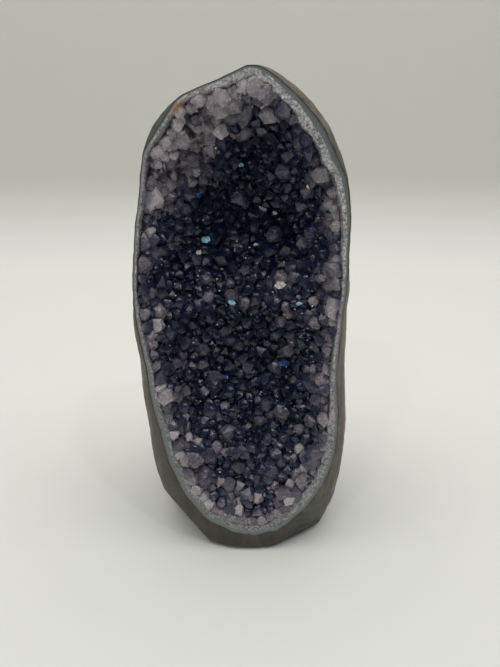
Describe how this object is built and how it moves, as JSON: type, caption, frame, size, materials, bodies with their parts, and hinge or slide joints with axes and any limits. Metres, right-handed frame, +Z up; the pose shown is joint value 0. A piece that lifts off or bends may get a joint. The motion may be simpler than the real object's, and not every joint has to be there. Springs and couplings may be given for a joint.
{
  "type": "amethyst geode",
  "caption": "Standing geode with a sawn flat base and a sawn, slightly leaning front that opens on a hollow lined with amethyst points.",
  "frame": {"origin": "middle of the bounding box's footprint, on the surface the sawn base stands on", "axes": "+Z up along the height, the sawn front with the hollow faces -Y and leans back 10 degrees, +X to its right as seen from the front"},
  "size_m": [0.0936, 0.0812, 0.2012],
  "materials": {
    "basalt": "satin, worn brown-grey basalt skin",
    "agate": "sawn and lightly polished green-grey agate",
    "amethyst": "glossy smoky violet quartz, sugary where sawn"
  },
  "bodies": {
    "root": {"basalt_rind": "basalt", "agate_band": "agate", "amethyst_druse": "amethyst"}
  },
  "joints": []
}
